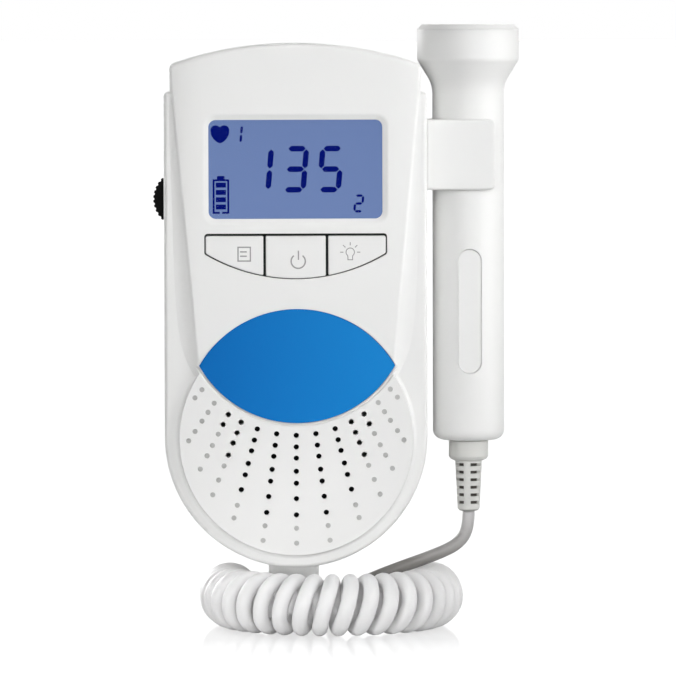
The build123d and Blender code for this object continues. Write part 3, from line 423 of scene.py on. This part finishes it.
# ---------------------------------------------------------------- label
# Blue lens-shaped label of printed polyester, stuck into a shallow pocket of the panel, left blank.
label_blue = Finish("label_blue", (0.01, 0.17, 0.55), 0.5, Specular_IOR_Level=0.06)
LABEL_HALF_WIDTH = 25.4
# Painted light: the blue is painted lighter towards the label's right side, where the light falls
lit_towards_right = label_blue.past("X", -LABEL_HALF_WIDTH, LABEL_HALF_WIDTH)
label_blue.feed("Base Color", label_blue.between(lit_towards_right, (0.002, 0.142, 0.475), (0.009, 0.235, 0.640)))
label_blue.feed("Roughness", 0.46 + 0.08 * label_blue.cloud(0.6))
label_blue.grain(label_blue.cloud(0.25), 0.002)
label_blue.on("label_plate")

# ---------------------------------------------------------------- loudspeaker
# A 35 mm speaker on a foam ring behind the fan of holes: stamped steel basket, black paper cone, ferrite
# magnet in a steel cup.
foam_black = moulded("foam_black", (0.02, 0.02, 0.021), 0.9, 0.8, 0.05, shade=0.6)
foam_black.on("speaker_gasket")
cone_black = moulded("cone_black", (0.015, 0.015, 0.016), 0.75, 0.4, 0.02, shade=0.6)
cone_black.on("speaker_cone")
steel = Finish("steel", (0.55, 0.55, 0.54), 0.32, Metallic=1.0)
steel.feed("Roughness", 0.24 + 0.16 * steel.cloud(1.2))
steel.feed("Base Color", steel.between(steel.cloud(3.0), (0.48, 0.48, 0.47), (0.60, 0.60, 0.58)))
steel.on("speaker_frame", "speaker_magnet")

# ---------------------------------------------------------------- volume wheel
# Knurled black thumb wheel pressed onto the shaft of a rotary potentiometer, standing out of the edge.
WHEEL_BLACK = (0.004, 0.004, 0.004)
wheel_black = moulded("wheel_black", WHEEL_BLACK, 0.7, 0.4, 0.003, shade=0.8, Specular_IOR_Level=0.1)
wheel_black.on("volume_wheel")
black_plastic.on("volume_pot")

# ---------------------------------------------------------------- circuit board
# Glass-epoxy board with a dark green-black lacquer, on four bosses behind the panel, with its chips, key
# switches, the earphone jack and the socket for the probe's plug. The closed halves hide all of it.
board_dark = Finish("board_dark", (0.006, 0.012, 0.009), 0.45)
tracks = board_dark.cloud(1.6, detail=0.0, stretch=(1.0, 1.0, 0.15)).held(0.48, 0.52)
board_dark.feed("Base Color", board_dark.between(tracks, (0.005, 0.010, 0.008), (0.008, 0.016, 0.011)))
board_dark.feed("Roughness", 0.40 + 0.1 * tracks)
board_dark.on("main_board", "probe_board")
black_plastic.on("board_chips", "button_switches", "earphone_jack", "probe_socket")
steel.on("board_screws", "housing_screws")

# ---------------------------------------------------------------- battery bay
# Two AA cells in plain sleeves, head to tail between nickel-plated contacts and coil springs, behind the
# cover of the rear shell.
cell_sleeve = Finish("cell_sleeve", (0.05, 0.05, 0.055), 0.3)
band = cell_sleeve.past("Z", 101.5, 101.9)
cell_sleeve.feed("Base Color", cell_sleeve.between(band, (0.035, 0.036, 0.040), (0.42, 0.40, 0.34)))
cell_sleeve.feed("Roughness", 0.26 + 0.08 * cell_sleeve.cloud(2.0))
cell_sleeve.on("battery_1", "battery_2")
steel.on("battery_contacts", "battery_springs")

# ---------------------------------------------------------------- side clip
# Clip of the same white ABS as the housing, held by a foot between its halves; two arms hold the probe.
shell_white.on("probe_clip")

# ---------------------------------------------------------------- probe
# Hand probe: a turned-looking white ABS grip that flares into a round head, closed by the sounding face.
# Inside are two crystals on their backing, a small board under a steel can, and the cable clamp.
PROBE_WHITE = (0.82, 0.82, 0.81)
PROBE_ROUGHNESS = 0.48
PROBE_GRAIN = 0.45
PROBE_X = 45.3
probe_white = moulded("probe_white", PROBE_WHITE, PROBE_ROUGHNESS, PROBE_GRAIN, 0.002, Specular_IOR_Level=0.35)
probe_white.on("probe_face")

# The long hollow in the front of the grip, round at both ends, has a soft step all round it. Its spine is
# the straight line between the middles of its round ends.
HOLLOW_Z = 82.7
HALF_SPINE = 13.15
HOLLOW_STEP = 0.4
body_white = moulded("body_white", PROBE_WHITE, PROBE_ROUGHNESS, Specular_IOR_Level=0.35)
body_white.on("probe_body")
sideways = body_white.place("X") - PROBE_X * MM
upward = body_white.place("Z") - HOLLOW_Z * MM
past_end = body_white.sum_with("MAXIMUM", abs(upward) - HALF_SPINE * MM, 0.0)
from_spine = body_white.sum_with("SQRT", sideways * sideways + past_end * past_end)
outside = from_spine.held(2.85 * MM, 3.15 * MM)
raised = body_white.sum_with("MAXIMUM", outside, body_white.past("Y", -6.0, -5.0))
body_white.grain(raised + 0.004 * body_white.cloud(PROBE_GRAIN), HOLLOW_STEP)

ceramic = moulded("ceramic", (0.62, 0.58, 0.48), 0.5, 0.3, 0.003, shade=0.9)
ceramic.on("transmit_crystal", "receive_crystal")
black_plastic.on("crystal_backing", "cable_clamp")
steel.on("probe_shield")

# ---------------------------------------------------------------- strain relief
# Collar and slotted boot, one soft grey-white moulding around the cord where it enters the grip. The slots
# are painted dark inside with painted shade.
BOOT_WHITE = (0.65, 0.65, 0.625)
SLOT_SHADE_BROWN = (0.07, 0.06, 0.05)
boot_rubber = moulded("boot_rubber", BOOT_WHITE, 0.55, 0.4, 0.004, shade=None)
# Painted shade: deep in the slots, near the cord, the colour turns dark brown
out_of_slots = boot_rubber.away((PROBE_X, 0, 0), "XY").held(2.3 * MM, 2.65 * MM)
boot_rubber.feed("Base Color", boot_rubber.between(out_of_slots, SLOT_SHADE_BROWN, BOOT_WHITE))
boot_rubber.on("probe_boot")

# ---------------------------------------------------------------- plug
# Right-angled white plug in the bottom of the housing, with its short boot and plated contacts. Its base
# stands on the table.
plug_white = moulded("plug_white", (0.86, 0.86, 0.85), 0.45, 0.4, 0.003)
plug_white.on("cord_plug", "plug_boot")
steel.on("plug_contacts")

# ---------------------------------------------------------------- cord: tail and curly stretch
# A round polyurethane cord, wound hot on a rod so that it stays curly. It leaves the plug behind the unit,
# loops on the table and runs in nearly 23 turns round the front. Inside the bend the turns are pressed
# together, every other one pushed outward; at the front they stand open and lean.
COIL_WIRE = 4.1
COIL_AXIS_Z = 8.0
TURN_RADIUS = 6.1
RING_X, RING_RADIUS = 9.4, 26.4
LEG_END_Y = 12.0
LEG_TURNS, RING_TURNS = 2.93, 17.5
FRONT_LEAN = 0.85
INNER_STAGGER = 1.1
POINTS_PER_TURN = 14


def coil_axis(turn):
    """Where the middle of the coil is after so many turns from its left end, and which way is outward."""
    if turn < LEG_TURNS:
        return (RING_X - RING_RADIUS, LEG_END_Y * (1 - turn / LEG_TURNS)), (-1.0, 0.0)
    turn -= LEG_TURNS
    if turn < RING_TURNS:
        angle = math.pi * turn / RING_TURNS
        outward = (-math.cos(angle), -math.sin(angle))
        return (RING_X + RING_RADIUS * outward[0], RING_RADIUS * outward[1]), outward
    turn -= RING_TURNS
    return (RING_X + RING_RADIUS, LEG_END_Y * turn / LEG_TURNS), (1.0, 0.0)


# From the plug's boot, round behind the unit, to the start of the first turn
TAIL = (
    (-0.5, 12.5, 4.6),
    (-0.5, 20.5, 4.6),
    (2.4, 29.8, 2.8),
    (1.1, 37.6, 1.8),
    (-4.8, 42.4, 1.8),
    (-12.7, 42.4, 1.8),
    (-18.6, 37.6, 1.8),
    (-19.0, 29.8, 1.8),
    (-16.6, 22.5, 1.8),
    (-15.6, 17.0, 1.8),
)
# The last turn opens and leaves along the table, where the lead carries on
COIL_END = ((30.3, 10.8, 4.2), (31.4, 13.2, 2.4), (32.8, 17.0, 2.05), (33.6, 20.5, 1.9), (33.8, 24.0, 1.75))

FIRST_POINT, LAST_POINT = 1, 319
turns = []
for point in range(FIRST_POINT, LAST_POINT + 1):
    turn = point / POINTS_PER_TURN
    roll = 2 * math.pi * turn - math.pi / 2
    (x, y), outward = coil_axis(turn)
    reach = TURN_RADIUS * math.cos(roll)
    reach -= INNER_STAGGER * math.cos(math.pi * turn) * max(-math.cos(roll), 0.0) ** 2
    lean = FRONT_LEAN * max(-outward[1], 0.0) ** 3 * math.sin(roll) * (1 + math.cos(roll)) / 2
    x += reach * outward[0] - lean * outward[1]
    y += reach * outward[1] + lean * outward[0]
    turns.append((x, y, COIL_AXIS_Z + TURN_RADIUS * math.sin(roll)))


def cord_line(name, points, radius, taper=()):
    """A cord as one NURBS curve through space, with a round section."""
    curve = bpy.data.curves.new(name, "CURVE")
    curve.dimensions = "3D"
    curve.bevel_depth = radius * MM
    curve.bevel_resolution = 6
    curve.resolution_u = 3
    curve.use_fill_caps = True
    spline = curve.splines.new("NURBS")
    spline.points.add(len(points) - 1)
    for knot, (x, y, z) in zip(spline.points, points):
        knot.co = (x * MM, y * MM, z * MM, 1.0)
    for index, share in taper:
        spline.points[index].radius = share
    spline.order_u = 3
    spline.use_endpoint_u = True
    piece = bpy.data.objects.new(name, curve)
    bpy.context.scene.collection.objects.link(piece)
    return piece


# The straight ends at the plug and at the lead are a little thinner than the turns
STRAIGHT_DIAMETER = 3.2
thin = STRAIGHT_DIAMETER / COIL_WIRE
slim_tail = [(index, thin) for index in range(len(TAIL))] + [(-1, thin), (-2, thin), (-3, 0.95)]
curly = cord_line("curly_cord_line", [*TAIL, *turns, *COIL_END], COIL_WIRE / 2, slim_tail)
cord_white = moulded("cord_white", (0.92, 0.915, 0.915), 0.38, 0.5, 0.002)
cord_white.on(curly)
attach(curly, "main_unit")
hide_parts("curly_cord", "cord_tail")

# ---------------------------------------------------------------- cord: lead to the probe
# The straight end of the same cord: from the coil's right end it loops on the table behind, passes over
# the ring and rises into the strain relief of the probe.
LEAD = (
    (45.3, 0, 30.3),
    (45.3, 0, 25.5),
    (42.6, -0.2, 21.4),
    (36.6, -1.0, 18.7),
    (27.6, -1.3, 15.6),
    (20.2, 2.6, 12.4),
    (14.0, 9.0, 8.8),
    (10.2, 16.6, 5.6),
    (9.9, 25.0, 3.0),
    (13.4, 32.4, 1.9),
    (20.6, 36.2, 1.75),
    (28.2, 34.8, 1.75),
    (32.6, 30.0, 1.75),
    (33.8, 24.0, 1.75),
)


def line_points(route, steps):
    """Points along the smooth curve of a route, in metres."""
    guide = cord_line("guide", route, 0.0)
    guide.data.resolution_u = steps
    mesh = bpy.data.meshes.new_from_object(guide.evaluated_get(bpy.context.evaluated_depsgraph_get()))
    points = [point.co.copy() for point in mesh.vertices]
    bpy.data.objects.remove(guide)
    bpy.data.meshes.remove(mesh)
    return points


def hose(name, path, radius, sides=20):
    """A round tube along points in metres, with closed ends."""
    shape = bmesh.new()
    rings = []
    side = Vector((0, 1, 0))
    for index, point in enumerate(path):
        before, after = path[max(index - 1, 0)], path[min(index + 1, len(path) - 1)]
        along = (after - before).normalized()
        side = (side - along * side.dot(along)).normalized()
        other = along.cross(side)
        rings.append([])
        for corner in range(sides):
            turn = 2 * math.pi * corner / sides
            rim = point + radius * MM * (math.cos(turn) * side + math.sin(turn) * other)
            rings[-1].append(shape.verts.new(rim))
    for low, high in zip(rings, rings[1:]):
        for corner in range(sides):
            after = (corner + 1) % sides
            shape.faces.new((low[corner], low[after], high[after], high[corner])).smooth = True
    shape.faces.new(rings[0][::-1])
    shape.faces.new(rings[-1])
    bmesh.ops.recalc_face_normals(shape, faces=shape.faces[:])
    mesh = bpy.data.meshes.new(name)
    shape.to_mesh(mesh)
    shape.free()
    piece = bpy.data.objects.new(name, mesh)
    bpy.context.scene.collection.objects.link(piece)
    return piece


# The white cord is painted grey with painted shade, darkest near the table and palest at the probe
LEAD_LOW_SHADE = (0.23, 0.222, 0.21)
LEAD_TOP_SHADE = (0.56, 0.552, 0.555)
STEPS_PER_BIT = 8
lead_path = line_points(LEAD, STEPS_PER_BIT)
lead = hose("probe_lead", lead_path, STRAIGHT_DIAMETER / 2)
lead_shaded = moulded("lead_shaded", LEAD_LOW_SHADE, 0.42, 0.5, 0.002, shade=None)
rising = lead_shaded.past("Z", 17, 30)
lead_shaded.feed("Base Color", lead_shaded.between(rising, LEAD_LOW_SHADE, LEAD_TOP_SHADE))
lead_shaded.on(lead)
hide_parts("cord_lead")
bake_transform(lead)

# ---------------------------------------------------------------- studio
# A wide glossy white table under a white sky. Soft lamps stand in front, above, to the right and behind; the
# low one at the left reaches under the unit to the cord.
FLOOR_HALF = 60.0
FLOOR_Z = -0.05 * MM
floor_mesh = bpy.data.meshes.new("studio_floor")
floor_shape = bmesh.new()
corners = rectangle(-FLOOR_HALF, FLOOR_HALF, -FLOOR_HALF, FLOOR_HALF)
floor_shape.faces.new([floor_shape.verts.new((x, y, FLOOR_Z)) for x, y in corners])
floor_shape.to_mesh(floor_mesh)
floor_shape.free()
floor = bpy.data.objects.new("studio_floor", floor_mesh)
bpy.context.scene.collection.objects.link(floor)

# Seen by the camera the table shines white, with a mirror image that fades towards the front; it still
# takes a part of the real shadow
WHITE = (1, 1, 1, 1)
SHINE, MIRRORED, SHADELESS = 1.34, 0.46, 0.84
table_white = Finish("table_white", (0.85, 0.85, 0.85), 0.6)
seen = table_white.node("ShaderNodeLightPath", output="Is Camera Ray")
glare = table_white.node("ShaderNodeEmission", None, {"Color": WHITE, "Strength": SHINE})
mirror = table_white.node("ShaderNodeBsdfGlossy", None, {"Color": WHITE, "Roughness": 0.04})
gloss = MIRRORED * table_white.past("Y", -125, -35)
sheen = table_white.node("ShaderNodeMixShader", None, {0: gloss, 1: glare, 2: mirror})
plain = Signal(table_white, table_white.shader.outputs[0])
table_top = table_white.node("ShaderNodeMixShader", None, {0: SHADELESS * seen, 1: plain, 2: sheen})
table_white.tree.links.new(table_top.socket, table_white.tree.nodes["Material Output"].inputs["Surface"])
table_white.on(floor)

# The sky lights the object evenly, and is full white where the camera, a gloss or a clear piece shows it
SKY_LIGHT = 0.31
world = bpy.data.worlds.new("studio")
world.use_nodes = True
bpy.context.scene.world = world
sky = Nodes(world.node_tree)
seen, glossy, through = (
    sky.node("ShaderNodeLightPath", output=f"Is {kind} Ray") for kind in ("Camera", "Glossy", "Transmission")
)
showing = sky.sum_with("MAXIMUM", seen, sky.sum_with("MAXIMUM", glossy, through))
level = sky.node("ShaderNodeMapRange", None, {0: showing, 3: SKY_LIGHT, 4: 1.0})
background = sky.tree.nodes["Background"]
background.inputs["Color"].default_value = WHITE
sky.tree.links.new(level.socket, background.inputs["Strength"])


def soft_lamp(name, place, aim, size, power, spread=180):
    """A square soft lamp that points at a spot of the object; spread is how wide its grid lets light out."""
    data = bpy.data.lights.new(name, "AREA")
    data.shape = "SQUARE"
    data.size = size
    data.energy = power
    data.spread = math.radians(spread)
    lamp = bpy.data.objects.new(name, data)
    bpy.context.scene.collection.objects.link(lamp)
    lamp.location = place
    lamp.rotation_euler = (Vector(aim) - Vector(place)).to_track_quat("-Z", "Y").to_euler()


soft_lamp("front_lamp", (0.02, -0.60, 0.10), (0.01, 0.0, 0.08), 0.30, 0.36)
soft_lamp("top_lamp", (0.0, -0.15, 0.45), (0.01, 0.0, 0.05), 0.30, 0.11)
soft_lamp("upper_lamp", (0.05, -0.60, 0.28), (0.01, 0.0, 0.11), 0.20, 0.036, spread=20)
soft_lamp("side_lamp", (0.45, -0.20, 0.16), (0.015, 0.0, 0.12), 0.20, 0.045, spread=24)
soft_lamp("key_lamp", (0.36, -0.145, 0.215), (0.03, 0.0, 0.135), 0.20, 0.048, spread=60)
soft_lamp("low_lamp", (-0.20, -0.30, 0.04), (0.010, -0.01, 0.012), 0.05, 0.0044, spread=18)
soft_lamp("rear_lamp", (-0.35, 0.45, 0.20), (0.0, 0.0, 0.08), 0.30, 1.6)

# The camera stands 1.6 m away, a little to the left and above, and looks slightly down and to the right
CAMERA_PLACE = (-26 * MM, -1600 * MM, 157 * MM)
LENS = 326.9
DOWN, ROLL = math.radians(2.9156), math.radians(-0.15)
TO_THE_RIGHT = math.atan2(37.25, 1600)
camera_data = bpy.data.cameras.new("camera")
camera_data.sensor_width = 36.0
camera_data.sensor_fit = "HORIZONTAL"
camera_data.lens = LENS
camera_data.clip_start = 0.01
camera_data.clip_end = 200.0
camera = bpy.data.objects.new("camera", camera_data)
bpy.context.scene.collection.objects.link(camera)
camera.location = CAMERA_PLACE
camera.rotation_euler = (math.pi / 2 - DOWN, 0, -TO_THE_RIGHT)
camera.rotation_euler.rotate_axis("Z", ROLL)
bpy.context.scene.camera = camera
bpy.context.scene.view_settings.view_transform = "Standard"
